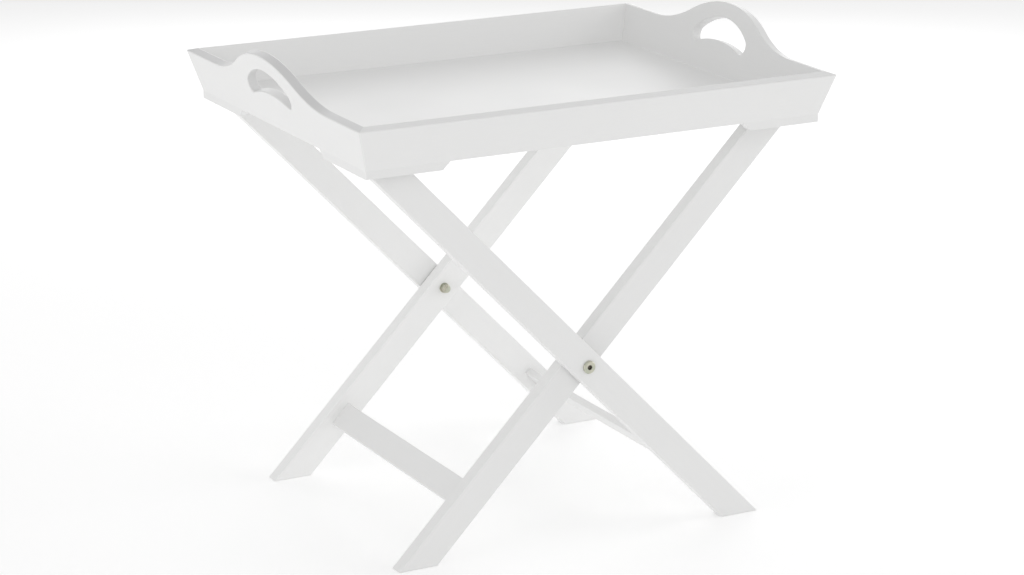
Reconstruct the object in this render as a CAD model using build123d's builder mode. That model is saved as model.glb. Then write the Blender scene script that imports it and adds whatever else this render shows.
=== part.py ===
"""Butler's tray table: a lift-off tray with handles on a stand of two crossed, folding frames."""
import os
from math import acos, asin, atan, atan2, cos, degrees, hypot, radians, sin, tan

from build123d import *

# Tray, measured at the rim where the boards have their full spread
TRAY_LENGTH = 600.0            # outside, along X, at the level rim
TRAY_DEPTH = 464.6             # outside, along Y, at the level rim
RIM_HEIGHT = 523.5             # outer arris of the rim, above the ground
BOARD_HEIGHT = 46.7            # outer arris of the rim, above the underside of the boards
BOARD_THICKNESS = 12.0         # square to the board's face
BOARD_FLARE = 14.0             # how far the rim stands out past the underside
PANEL_THICKNESS = 6.0

# Handle: an S curve on each side of the crown, over a kidney-shaped grip.
# Both are cut square through the leaning board, and measured up its face.
HANDLE_RISE = 40.2             # crown above the rim
HANDLE_REACH = 150.0           # from the middle to where the curve meets the rim
GRIP_CROWN = 21.9              # top of the grip above the rim
GRIP_SILL = 6.0                # bottom of the grip below the rim, in the middle
GRIP_END_REACH = 48.5          # from the middle to the centre of a round end
GRIP_END_DROP = 4.7            # centre of a round end below the rim
GRIP_END_RADIUS = 9.2

# Corner feet: two mitred strips under each corner of the tray
FOOT_HEIGHT = 9.2
FOOT_THICKNESS = 12.0
FOOT_LONG_ARM = 101.0          # along X, measured at the boards
FOOT_SHORT_ARM = 114.8         # along Y, measured at the boards

# Stand
LEG_WIDTH = 35.0               # across the leg, in the plane it swings in
LEG_THICKNESS = 18.0           # along Y
LEG_ARRIS = 1.5
LEG_TIP_CUT = 8.2              # what the upright cut takes off a leg's outer corner, under the tray
PIVOT_HEIGHT = 211.7
STAND_SETBACK = 9.9            # from the long foot strips in to the outer legs, along Y
RUNG_WIDTH = 32.0
RUNG_THICKNESS = 9.0
SLAT_ARRIS = 1.0               # rounded edges of the rungs and rails
RUNG_DISTANCE = 198.5          # from the pivot to the middle of the rung, down the leg
RAIL_WIDTH = 30.0
RAIL_THICKNESS = 10.0
RAIL_SETBACK = 1.0             # from the leg's own centre line, towards the middle of the stand

# Pivot hardware
BOLT_DIAMETER = 6.0
BOLT_HEAD_DIAMETER = 15.0
BOLT_HEAD_HEIGHT = 2.6
BOLT_HEAD_CROWN = 1.4          # radius of the head's rounded edge
BOLT_TIP_CHAMFER = 0.6
BOLT_PROUD = 1.9               # tip of the bolt past the lock nut
SOCKET_ACROSS_FLATS = 5.0
SOCKET_DEPTH = 1.9
RUNNING_CLEARANCE = 0.05       # radial, bolt in the bores of the legs
SPACER_DIAMETER = 17.0
SPACER_THICKNESS = 1.3
WASHER_DIAMETER = 12.5
WASHER_THICKNESS = 1.2
WASHER_CLEARANCE = 0.2         # radial, washers on the bolt
NUT_ACROSS_FLATS = 10.0
NUT_HEIGHT = 5.8
NUT_COLLAR_DIAMETER = 8.8
NUT_COLLAR_HEIGHT = 1.8

# Hidden joinery
DOWEL_DIAMETER = 6.0
DOWEL_LENGTH = 30.0
DOWEL_IN_LEG = 12.0
DOWEL_SPACING = 14.0
BRAD_DIAMETER = 1.6
FOOT_BRAD_LENGTH = 22.0
FOOT_BRAD_INSET = 22.0         # from each end of a foot strip, at the boards
CORNER_BRAD_LENGTH = 26.0
BRAD_COVER = 2.0               # filler over the head of a brad
CORNER_BRAD_HEIGHTS = (12.0, 34.0)   # above the underside of the boards

# Worked out from the sizes above
UNDERSIDE = RIM_HEIGHT - BOARD_HEIGHT
FOOT_BOTTOM = UNDERSIDE - FOOT_HEIGHT
SLOPE = BOARD_FLARE / BOARD_HEIGHT
LEAN = atan(SLOPE)                                        # of the boards, from upright
FACE_HEIGHT = BOARD_HEIGHT / cos(LEAN)                    # rim above the underside, up the board's face
BOARD_SPAN = BOARD_THICKNESS / cos(LEAN)                  # board thickness, measured level
EDGE_RISE = BOARD_THICKNESS * sin(LEAN)                   # inner arris of a square edge above the outer
CROWN_HEIGHT = RIM_HEIGHT + HANDLE_RISE * cos(LEAN)       # outer arris of the crown
BASE_X = TRAY_LENGTH / 2 - BOARD_FLARE                    # outside of the boards at the underside
BASE_Y = TRAY_DEPTH / 2 - BOARD_FLARE
OUTER_FACE = BASE_Y - FOOT_THICKNESS - STAND_SETBACK
OUTER_INSIDE = OUTER_FACE - LEG_THICKNESS
INNER_FACE = OUTER_INSIDE - SPACER_THICKNESS
INNER_INSIDE = INNER_FACE - LEG_THICKNESS
LEG_STOP = BASE_X - FOOT_THICKNESS                        # foot strip that the leg tops bear on
LEG_RISE = UNDERSIDE - PIVOT_HEIGHT
LEG_REACH = LEG_STOP + LEG_TIP_CUT                        # outer edge of an uncut leg, under the tray
LEG_ANGLE = degrees(acos(LEG_WIDTH / 2 / hypot(LEG_RISE, LEG_REACH)) - atan2(LEG_RISE, LEG_REACH))
BOLT_RADIUS = BOLT_DIAMETER / 2
NUT_SEAT = INNER_INSIDE - WASHER_THICKNESS
BOLT_LENGTH = OUTER_FACE - NUT_SEAT + NUT_HEIGHT + NUT_COLLAR_HEIGHT + BOLT_PROUD     # under the head
BORE_RADIUS = BOLT_RADIUS + RUNNING_CLEARANCE
RAIL_LEVEL = UNDERSIDE - RAIL_THICKNESS / 2
RAIL_X = (RAIL_LEVEL - PIVOT_HEIGHT) * tan(radians(LEG_ANGLE)) - RAIL_SETBACK
PIVOT = Vector(0, 0, PIVOT_HEIGHT)


def outside(height, base):
    """Outer face of a tray board, from the middle of the tray, at a height above the ground."""
    return base + (height - UNDERSIDE) * SLOPE


def finish(builder, name):
    """Label a finished piece and write it."""
    builder.part.label = name
    export_step(builder.part, f"parts/{name}.step")


def cut_pins(pins, diameter):
    """Cut the seats of pins, given as (head, direction, length), in the piece being built."""
    for head, direction, length in pins:
        with BuildSketch(Plane(origin=head, z_dir=direction)) as seat:
            Circle(diameter / 2)
        extrude(seat.sketch, amount=length, mode=Mode.SUBTRACT)


def make_pins(pins, diameter, name):
    """Write one group of plain round pins, given as (head, direction, length)."""
    with BuildPart() as group:
        for head, direction, length in pins:
            with BuildSketch(Plane(origin=head, z_dir=direction)):
                Circle(diameter / 2)
            extrude(amount=length)
    finish(group, name)


def corner_brads():
    """Brads driven through the front and back boards into the ends of the handle boards."""
    brads = []
    for side_x in (-1, 1):
        for side_y in (-1, 1):
            for lift in CORNER_BRAD_HEIGHTS:
                level = UNDERSIDE + lift
                x = side_x * (outside(level, BASE_X) - BOARD_SPAN / 2)
                y = side_y * (outside(level, BASE_Y) - BRAD_COVER)
                brads.append(((x, y, level), (0, -side_y, 0), CORNER_BRAD_LENGTH))
    return brads


def foot_brads():
    """Brads driven up through the foot strips into the boards."""
    brads = []
    across = FOOT_THICKNESS / 2
    low = FOOT_BOTTOM + BRAD_COVER
    for side_x in (-1, 1):
        for side_y in (-1, 1):
            for inset in (FOOT_BRAD_INSET, FOOT_LONG_ARM - FOOT_BRAD_INSET):
                x, y = side_x * (BASE_X - inset), side_y * (BASE_Y - across)
                brads.append(((x, y, low), (0, 0, 1), FOOT_BRAD_LENGTH))
            for inset in (FOOT_BRAD_INSET, FOOT_SHORT_ARM - FOOT_BRAD_INSET):
                x, y = side_x * (BASE_X - across), side_y * (BASE_Y - inset)
                brads.append(((x, y, low), (0, 0, 1), FOOT_BRAD_LENGTH))
    return brads


CORNER_BRADS = corner_brads()
FOOT_BRADS = foot_brads()


def board_plan(lengthwise, level):
    """Mitred plan of the front board, or of the left handle board, at a level."""
    x = outside(level, BASE_X)
    y = outside(level, BASE_Y)
    if lengthwise:
        corners = [(-x, -y), (x, -y), (x - BOARD_SPAN, BOARD_SPAN - y), (BOARD_SPAN - x, BOARD_SPAN - y)]
    else:
        corners = [(-x, -y), (BOARD_SPAN - x, BOARD_SPAN - y), (BOARD_SPAN - x, y - BOARD_SPAN), (-x, y)]
    Polygon(*corners, align=None)


def handle_outline():
    """Face of a handle board, upwards from the underside: an S curve on each side of the crown."""
    crown_height = FACE_HEIGHT + HANDLE_RISE
    radius = (HANDLE_REACH**2 + HANDLE_RISE**2) / (4 * HANDLE_RISE)
    turn = asin(HANDLE_REACH / 2 / radius)
    bulge = (radius * sin(turn / 2), radius * (1 - cos(turn / 2)))
    with BuildLine() as outline:
        for side in (-1, 1):
            crown = (0, crown_height)
            crest = (side * bulge[0], crown_height - bulge[1])
            middle = (side * HANDLE_REACH / 2, FACE_HEIGHT + HANDLE_RISE / 2)
            hollow = (side * (HANDLE_REACH - bulge[0]), FACE_HEIGHT + bulge[1])
            shoulder = (side * HANDLE_REACH, FACE_HEIGHT)
            ThreePointArc(crown, crest, middle)
            ThreePointArc(middle, hollow, shoulder)
            far, below = side * TRAY_DEPTH, -BOARD_THICKNESS
            Polyline(shoulder, (far, FACE_HEIGHT), (far, below), (0, below))
    return outline.edges()


def grip_outline():
    """Kidney-shaped grip: an upper and a lower arc, both tangent to the round ends."""
    reach, end = GRIP_END_REACH, GRIP_END_RADIUS
    centre = FACE_HEIGHT - GRIP_END_DROP
    above = GRIP_CROWN + GRIP_END_DROP
    below = GRIP_SILL - GRIP_END_DROP
    upper_radius = (reach**2 + above**2 - end**2) / (2 * (above - end))
    lower_radius = (reach**2 + below**2 - end**2) / (2 * (end - below))
    upper_turn = atan2(reach, upper_radius - above)
    lower_turn = atan2(reach, lower_radius + below)
    upper_y, upper_z = reach + end * sin(upper_turn), centre + end * cos(upper_turn)
    lower_y, lower_z = reach - end * sin(lower_turn), centre - end * cos(lower_turn)
    with BuildLine() as outline:
        ThreePointArc((-upper_y, upper_z), (0, FACE_HEIGHT + GRIP_CROWN), (upper_y, upper_z))
        ThreePointArc((-lower_y, lower_z), (0, FACE_HEIGHT - GRIP_SILL), (lower_y, lower_z))
        for side in (-1, 1):
            tip = (side * (reach + end), centre)
            ThreePointArc((side * upper_y, upper_z), tip, (side * lower_y, lower_z))
    return outline.edges()


def make_tray():
    """Panel, four mitred flaring boards and the brads of their corners."""
    with BuildPart() as panel:
        for level in (UNDERSIDE, UNDERSIDE + PANEL_THICKNESS):
            with BuildSketch(Plane.XY.offset(level)):
                Rectangle(
                    2 * (outside(level, BASE_X) - BOARD_SPAN),
                    2 * (outside(level, BASE_Y) - BOARD_SPAN),
                )
        loft(ruled=True)
    finish(panel, "tray_panel")

    for name, turn, side in (("tray_front_board", 0, -1), ("tray_back_board", 180, 1)):
        with BuildPart() as board:
            for level in (UNDERSIDE, RIM_HEIGHT + EDGE_RISE):
                with BuildSketch(Plane.XY.offset(level).rotated((0, 0, turn))):
                    board_plan(True, level)
            loft(ruled=True)
            arris = (0, side * outside(RIM_HEIGHT, BASE_Y), RIM_HEIGHT)
            split(bisect_by=Plane(origin=arris, z_dir=(0, side * sin(LEAN), cos(LEAN))), keep=Keep.BOTTOM)
            cut_pins(CORNER_BRADS + FOOT_BRADS, BRAD_DIAMETER)
        finish(board, name)

    handle, grip = handle_outline(), grip_outline()
    for name, turn, side in (("tray_left_handle_board", 0, -1), ("tray_right_handle_board", 180, 1)):
        face = Plane(
            origin=(side * BASE_X, 0, UNDERSIDE),
            x_dir=(0, side, 0),
            z_dir=(side * cos(LEAN), 0, -sin(LEAN)),
        )
        with BuildPart() as board:
            for level in (UNDERSIDE, CROWN_HEIGHT + EDGE_RISE):
                with BuildSketch(Plane.XY.offset(level).rotated((0, 0, turn))):
                    board_plan(False, level)
            loft(ruled=True)
            with BuildSketch(face):
                make_face(handle)
                make_face(grip, mode=Mode.SUBTRACT)
            extrude(amount=3 * BOARD_THICKNESS, both=True, mode=Mode.INTERSECT)
            cut_pins(CORNER_BRADS + FOOT_BRADS, BRAD_DIAMETER)
        finish(board, name)
    make_pins(CORNER_BRADS, BRAD_DIAMETER, "tray_corner_brads")


def foot_plan(side_x, side_y, along_x, level):
    """Mitred plan of one foot strip at a level; its free end is bevelled at 45 degrees."""
    arm = (FOOT_LONG_ARM if along_x else FOOT_SHORT_ARM) - (UNDERSIDE - level)
    corners = []
    for along, across in ((0, 0), (FOOT_THICKNESS, FOOT_THICKNESS), (arm, FOOT_THICKNESS), (arm, 0)):
        inset_x, inset_y = (along, across) if along_x else (across, along)
        corners.append((side_x * (BASE_X - inset_x), side_y * (BASE_Y - inset_y)))
    Polygon(*corners, align=None)


def make_feet():
    """Corner feet of the tray: at each corner a long and a short strip, mitred together."""
    for x_name, side_x in (("left", -1), ("right", 1)):
        for y_name, side_y in (("front", -1), ("back", 1)):
            for arm_name, along_x in (("long", True), ("short", False)):
                with BuildPart() as strip:
                    for level in (FOOT_BOTTOM, UNDERSIDE):
                        with BuildSketch(Plane.XY.offset(level)):
                            foot_plan(side_x, side_y, along_x, level)
                    loft(ruled=True)
                    cut_pins(FOOT_BRADS, BRAD_DIAMETER)
                finish(strip, f"foot_{y_name}_{x_name}_{arm_name}")
    make_pins(FOOT_BRADS, BRAD_DIAMETER, "foot_brads")


def frame_dowels(lean, inside):
    """Dowels between the legs of one frame and its rail and rung, given as pins."""
    up_leg = Vector(lean * sin(radians(LEG_ANGLE)), 0, cos(radians(LEG_ANGLE)))
    rows = (
        (PIVOT - up_leg * RUNG_DISTANCE, up_leg),
        (Vector(lean * RAIL_X, 0, RAIL_LEVEL), Vector(1, 0, 0)),
    )
    dowels = []
    for middle, along in rows:
        for offset in (-DOWEL_SPACING / 2, DOWEL_SPACING / 2):
            for side in (-1, 1):
                head = middle + along * offset + Vector(0, side * (inside + DOWEL_IN_LEG), 0)
                dowels.append((head, (0, -side, 0), DOWEL_LENGTH))
    return dowels


def make_frame(name, lean, face):
    """One frame of the stand: two legs, a rail under the tray, a rung and their dowels.

    lean is -1 where the legs' tops lie towards -X and 1 where they lie towards +X;
    face is the outer face of the legs, from the middle of the stand.
    """
    inside = face - LEG_THICKNESS
    up_leg = Vector(lean * sin(radians(LEG_ANGLE)), 0, cos(radians(LEG_ANGLE)))
    dowels = frame_dowels(lean, inside)

    for y_name, side in (("front", -1), ("back", 1)):
        with BuildPart() as leg:
            middle = PIVOT + Vector(0, side * (face - LEG_THICKNESS / 2), 0)
            with BuildSketch(Plane(origin=middle, x_dir=(0, 1, 0), z_dir=up_leg)):
                RectangleRounded(LEG_THICKNESS, LEG_WIDTH, LEG_ARRIS)
            extrude(amount=RIM_HEIGHT, both=True)
            split(bisect_by=Plane.XY, keep=Keep.TOP)
            split(bisect_by=Plane.XY.offset(UNDERSIDE), keep=Keep.BOTTOM)
            split(bisect_by=Plane(origin=(lean * LEG_STOP, 0, 0), z_dir=(lean, 0, 0)), keep=Keep.BOTTOM)
            with BuildSketch(Plane(origin=PIVOT, x_dir=(1, 0, 0), z_dir=(0, 1, 0))):
                Circle(BORE_RADIUS)
            extrude(amount=TRAY_DEPTH, both=True, mode=Mode.SUBTRACT)
            cut_pins(dowels, DOWEL_DIAMETER)
        finish(leg, f"{name}_leg_{y_name}")

    with BuildPart() as rung:
        centre = PIVOT - up_leg * RUNG_DISTANCE
        with BuildSketch(Plane(origin=centre, x_dir=up_leg, z_dir=(0, 1, 0))):
            RectangleRounded(RUNG_WIDTH, RUNG_THICKNESS, SLAT_ARRIS)
        extrude(amount=inside, both=True)
        cut_pins(dowels, DOWEL_DIAMETER)
    finish(rung, f"{name}_rung")

    with BuildPart() as rail:
        centre = (lean * RAIL_X, 0, RAIL_LEVEL)
        with BuildSketch(Plane(origin=centre, x_dir=(1, 0, 0), z_dir=(0, 1, 0))):
            RectangleRounded(RAIL_WIDTH, RAIL_THICKNESS, SLAT_ARRIS)
        extrude(amount=inside, both=True)
        cut_pins(dowels, DOWEL_DIAMETER)
    finish(rail, f"{name}_top_rail")
    make_pins(dowels, DOWEL_DIAMETER, f"{name}_dowels")


def make_washers(name, face, diameter, thickness):
    """Front and back washer on the bolts, each lying against a face of the stand towards its middle."""
    with BuildPart() as washers:
        for side in (-1, 1):
            with BuildSketch(Plane(origin=(0, side * face, PIVOT_HEIGHT), z_dir=(0, -side, 0))):
                Circle(diameter / 2)
                Circle(BOLT_RADIUS + WASHER_CLEARANCE, mode=Mode.SUBTRACT)
            extrude(amount=thickness)
    finish(washers, name)


def make_pivots():
    """Bolts, washers and lock nuts that the two frames turn on."""
    for y_name, side in (("front", -1), ("back", 1)):
        head_seat = Plane(origin=(0, side * OUTER_FACE, PIVOT_HEIGHT), x_dir=(1, 0, 0), z_dir=(0, side, 0))
        with BuildPart() as bolt:
            with BuildSketch(head_seat):
                Circle(BOLT_HEAD_DIAMETER / 2)
            extrude(amount=BOLT_HEAD_HEIGHT)
            rim = bolt.edges().filter_by(GeomType.CIRCLE).sort_by(Axis.Y)
            fillet(rim[0] if side < 0 else rim[-1], BOLT_HEAD_CROWN)
            with BuildSketch(head_seat.offset(BOLT_HEAD_HEIGHT)):
                RegularPolygon(SOCKET_ACROSS_FLATS / 2, 6, major_radius=False)
            extrude(amount=-SOCKET_DEPTH, mode=Mode.SUBTRACT)
            with BuildSketch(head_seat):
                Circle(BOLT_RADIUS)
            extrude(amount=-BOLT_LENGTH)
            tip = bolt.edges().filter_by(GeomType.CIRCLE).sort_by(Axis.Y)
            chamfer(tip[-1] if side < 0 else tip[0], BOLT_TIP_CHAMFER)
        finish(bolt, f"pivot_bolt_{y_name}")

        nut_seat = Plane(origin=(0, side * NUT_SEAT, PIVOT_HEIGHT), x_dir=(1, 0, 0), z_dir=(0, -side, 0))
        with BuildPart() as nut:
            with BuildSketch(nut_seat):
                RegularPolygon(NUT_ACROSS_FLATS / 2, 6, major_radius=False)
            extrude(amount=NUT_HEIGHT)
            with BuildSketch(nut_seat.offset(NUT_HEIGHT)):
                Circle(NUT_COLLAR_DIAMETER / 2)
            extrude(amount=NUT_COLLAR_HEIGHT)
            with BuildSketch(nut_seat):
                Circle(BOLT_RADIUS)
            extrude(amount=NUT_HEIGHT + NUT_COLLAR_HEIGHT, mode=Mode.SUBTRACT)
        finish(nut, f"pivot_nut_{y_name}")

    make_washers("spacer_washers", OUTER_INSIDE, SPACER_DIAMETER, SPACER_THICKNESS)
    make_washers("nut_washers", INNER_INSIDE, WASHER_DIAMETER, WASHER_THICKNESS)


os.makedirs("parts", exist_ok=True)
make_tray()
make_feet()
make_frame("outer", -1, OUTER_FACE)
make_frame("inner", 1, INNER_FACE)
make_pivots()
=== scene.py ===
"""Looks of a folding tray table: painted boards and legs, plated bolts, soft studio light."""

from __future__ import annotations

import logging
from dataclasses import dataclass, field
from enum import Enum
from math import cos, pi, radians, sin, tan

import bmesh
import bpy
import numpy as np
from mathutils import Matrix, Vector

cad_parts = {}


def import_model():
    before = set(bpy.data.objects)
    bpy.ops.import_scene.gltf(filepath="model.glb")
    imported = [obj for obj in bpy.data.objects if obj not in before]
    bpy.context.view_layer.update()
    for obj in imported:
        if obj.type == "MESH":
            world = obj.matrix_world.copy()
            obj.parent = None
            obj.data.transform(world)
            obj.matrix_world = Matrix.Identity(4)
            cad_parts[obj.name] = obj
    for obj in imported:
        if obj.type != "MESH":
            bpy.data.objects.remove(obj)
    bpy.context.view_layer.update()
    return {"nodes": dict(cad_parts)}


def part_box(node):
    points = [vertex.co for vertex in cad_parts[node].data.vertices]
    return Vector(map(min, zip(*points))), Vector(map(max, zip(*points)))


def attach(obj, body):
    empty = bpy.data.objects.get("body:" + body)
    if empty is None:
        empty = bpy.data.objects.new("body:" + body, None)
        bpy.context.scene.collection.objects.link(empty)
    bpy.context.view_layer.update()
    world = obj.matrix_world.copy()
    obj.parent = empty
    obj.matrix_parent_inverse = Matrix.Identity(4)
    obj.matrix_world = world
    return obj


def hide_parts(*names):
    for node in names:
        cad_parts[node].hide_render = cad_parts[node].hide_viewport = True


Material = bpy.types.Material
Socket = bpy.types.NodeSocket
Triple = tuple[float, float, float]   # a colour, a place or a scale along three axes
LOG = logging.getLogger("tray_table")
MM = 0.001
FRONT_BACK = (("front", -1.0), ("back", 1.0))     # names of the two ends of Y, with their signs
LEFT_RIGHT = (("left", -1.0), ("right", 1.0))     # the same for X
WELD = 2e-6                      # points nearer than this are one point
SHARP = radians(40)              # edges that turn more than this stay crisp


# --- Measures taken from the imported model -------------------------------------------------


def low(node: str) -> np.ndarray:
    """Lowest corner of a CAD node, in metres."""
    return np.array(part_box(node)[0])


def high(node: str) -> np.ndarray:
    """Highest corner of a CAD node, in metres."""
    return np.array(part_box(node)[1])


@dataclass(frozen=True)
class TrayMeasures:
    """Sizes of the tray, read from its CAD nodes.

    Attributes:
        underside: Height of the boards' undersides.
        rim: Height of the rim's outer arris.
        crown: Height of the outer arris of a handle's crown.
        foot_bottom: Height of the feet's undersides.
        half_length: From the middle to the rim's outer arris, along X.
        half_depth: From the middle to the rim's outer arris, along Y.
        base_x: From the middle to the outside of the boards' undersides, along X.
        base_y: From the middle to the outside of the boards' undersides, along Y.
        span: Thickness of a board, measured level.
        foot_across: Width of a foot strip.
        long_arm: Length of a foot strip along X.
        short_arm: Length of a foot strip along Y.
    """

    underside: float
    rim: float
    crown: float
    foot_bottom: float
    half_length: float
    half_depth: float
    base_x: float
    base_y: float
    span: float
    foot_across: float
    long_arm: float
    short_arm: float

    @classmethod
    def read(cls) -> "TrayMeasures":
        """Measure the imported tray. The panel's bevelled edge gives the lean of the boards, and that
        gives how far a square-cut edge rises from its outer to its inner arris.

        Returns:
            The tray's sizes, in metres.
        """
        front, foot, panel = "tray_front_board", "foot_front_left_long", "tray_panel"
        base_x, base_y = -low(foot)[0], -low(foot)[1]
        half_length, half_depth = high(front)[0], -low(front)[1]
        underside = low(front)[2]
        span = (high(front)[1] - low(front)[1]) - (half_depth - base_y)
        slope = (high(panel)[0] - (base_x - span)) / (high(panel)[2] - underside)
        edge_rise = span * slope / (1 + slope**2)
        return cls(
            underside=underside,
            rim=high(front)[2] - edge_rise,
            crown=high("tray_left_handle_board")[2] - edge_rise,
            foot_bottom=low(foot)[2],
            half_length=half_length,
            half_depth=half_depth,
            base_x=base_x,
            base_y=base_y,
            span=span,
            foot_across=high(foot)[1] - low(foot)[1],
            long_arm=high(foot)[0] - low(foot)[0],
            short_arm=high("foot_front_left_short")[1] - low("foot_front_left_short")[1],
        )

    @property
    def slope(self) -> float:
        """Outward lean of the boards, sideways per unit of height."""
        return (self.half_length - self.base_x) / (self.rim - self.underside)

    def squared(self, z: np.ndarray, depth: np.ndarray) -> np.ndarray:
        """Heights behind the outer face of a board whose edges are cut square to that face.

        A line square to the face climbs, for each unit of level depth, by the lean's sine times its
        cosine. The climb fades in over a thickness above the underside, which is cut level.

        Args:
            z: Heights on the outer face.
            depth: Level depths behind it.

        Returns:
            The heights at those depths.
        """
        fade = np.clip((z - self.underside) / self.span, 0, 1)
        return z + depth * fade * self.slope / (1 + self.slope**2)

    def outside_x(self, z: np.ndarray) -> np.ndarray:
        """Outer face of the handle boards at height z."""
        return self.base_x + (z - self.underside) * self.slope

    def outside_y(self, z: np.ndarray) -> np.ndarray:
        """Outer face of the long boards at height z."""
        return self.base_y + (z - self.underside) * self.slope


# --- Surfaces ------------------------------------------------------------------------------


@dataclass
class Surface:
    """A grid of points: stations along a piece, each with the points of one section.

    Attributes:
        points: Positions, shaped (stations, section points, 3), in metres.
        grain: The piece's own coordinates of the same points: along, across, through.
        arris: How far each point is into a worn arris, 0 to 1, shaped (stations, section points).
        painted_shade: Share of painted shade at each point, 0 to 1, shaped likewise: it greys sawn edges
            and darkens bolt sockets.
        closed: Whether each section is a closed loop.
        capped: Whether the first and last sections are filled with a flat face.
    """

    points: np.ndarray
    grain: np.ndarray
    arris: np.ndarray
    closed: bool = True
    capped: bool = True
    # Painted shade: share of grey painted onto sawn edges and into bolt sockets, standing in for their
    # shade.
    painted_shade: np.ndarray | None = None

    def faces(self, first: int) -> list[list[int]]:
        """Index the grid's faces.

        Args:
            first: Index of the surface's first point in the whole mesh.

        Returns:
            Faces as lists of point indices.
        """
        stations, section = self.points.shape[:2]
        index = np.arange(stations * section).reshape(stations, section) + first
        if self.closed:
            index = np.concatenate([index, index[:, :1]], axis=1)
        corners = (index[:-1, :-1], index[1:, :-1], index[1:, 1:], index[:-1, 1:])
        faces = np.stack(corners, axis=-1).reshape(-1, 4).tolist()
        if self.capped:
            faces += [index[0, :section].tolist(), index[-1, section - 1 :: -1][:section].tolist()]
        return faces


def joined(values: list[np.ndarray]) -> np.ndarray:
    """One flat row of single-precision numbers from many arrays."""
    return np.concatenate([v.reshape(-1) for v in values]).astype(np.float32)


def make_piece(name: str, surfaces: list[Surface]) -> bpy.types.Object:
    """Weld surfaces into one closed mesh with its own grain coordinates.

    Args:
        name: Name of the new object.
        surfaces: Grids that meet edge to edge.

    Returns:
        The new object, at the origin.
    """
    points, faces, first = [], [], 0
    for surface in surfaces:
        faces += surface.faces(first)
        points.append(surface.points.reshape(-1, 3))
        first += len(points[-1])
    mesh = bpy.data.meshes.new(name)
    mesh.from_pydata(np.concatenate(points).tolist(), [], faces)
    grain = mesh.attributes.new("grain", "FLOAT_VECTOR", "POINT")
    grain.data.foreach_set("vector", joined([s.grain for s in surfaces]))
    # Painted shade shares, carried to the shaders as a point attribute.
    painted_shade = [np.zeros_like(s.arris) if s.painted_shade is None else s.painted_shade for s in surfaces]
    for label, values in (("arris", [s.arris for s in surfaces]), ("painted_shade", painted_shade)):
        attribute = mesh.attributes.new(label, "FLOAT", "POINT")
        attribute.data.foreach_set("value", joined(values))
    work = bmesh.new()
    work.from_mesh(mesh)
    bmesh.ops.remove_doubles(work, verts=work.verts, dist=WELD)
    bmesh.ops.dissolve_degenerate(work, edges=work.edges, dist=WELD)
    bmesh.ops.recalc_face_normals(work, faces=work.faces)
    work.to_mesh(mesh)
    work.free()
    mesh.polygons.foreach_set("use_smooth", np.ones(len(mesh.polygons), bool))
    mesh.set_sharp_from_angle(angle=SHARP)
    piece = bpy.data.objects.new(name, mesh)
    bpy.context.scene.collection.objects.link(piece)
    return piece


@dataclass(frozen=True)
class Arris:
    """A hand-eased edge: a quarter round, with a line just inside it that keeps the flats flat.

    Attributes:
        radius: Radius of the round, in metres.
        steps: Facets in the quarter round.
        hold: Distance of the holding line from the round.
    """

    radius: float = 1.2 * MM
    steps: int = 4
    hold: float = 0.35 * MM

    def ends(self) -> tuple[np.ndarray, np.ndarray]:
        """Rows of a rounded end: a quarter circle from the end's flat to the side.

        Returns:
            Inset of each row from the side, and its distance from the end, both in metres.
        """
        turn = np.linspace(pi / 2, 0, self.steps + 1)
        inset = np.concatenate([[self.radius + self.hold], self.radius * (1 - np.cos(turn)), [0.0]])
        back = np.concatenate([[0.0], self.radius * (1 - np.sin(turn)), [self.radius + self.hold]])
        return inset, back

    def section(
        self, width: float, height: float, square: tuple[int, ...] = ()
    ) -> tuple[np.ndarray, np.ndarray]:
        """Rectangle with rounded corners, from (0, 0) to (width, height).

        Args:
            width: Size along the first axis.
            height: Size along the second axis.
            square: Corners left square: 0 at (width, 0), and on round to 3 at (0, 0).

        Returns:
            The loop's points, shaped (points, 2), and how far each is into the arris.
        """
        turn = np.linspace(0, pi / 2, self.steps + 1)
        quarter = np.stack([np.sin(turn), -np.cos(turn)], axis=1)
        worn = np.concatenate([[0.0], np.ones(self.steps + 1), [0.0]])
        half = np.array([width, height]) / 2
        loop, wear = [], []
        for corner, outward in enumerate(((1, -1), (1, 1), (-1, 1), (-1, -1))):
            radius = 0.0 if corner in square else self.radius
            centre = half + (half - radius) * outward
            turned = quarter @ np.linalg.matrix_power(np.array([[0, 1], [-1, 0]]), corner)
            before, after = turned[:1], turned[-1:]
            lead_in = before * radius - after * self.hold
            lead_out = after * radius - before * self.hold
            loop.append(centre + np.concatenate([lead_in, turned * radius, lead_out]))
            wear.append(worn * (corner not in square))
        return np.concatenate(loop), np.concatenate(wear)


SOFT = Arris(1.3 * MM)
FINE = Arris(0.7 * MM, 3, 0.25 * MM)


# --- Finishes --------------------------------------------------------------------------------


class Pattern(Enum):
    """Where a finish takes the direction of its grain from."""

    GRAIN = "grain"
    OBJECT = "object"


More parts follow.
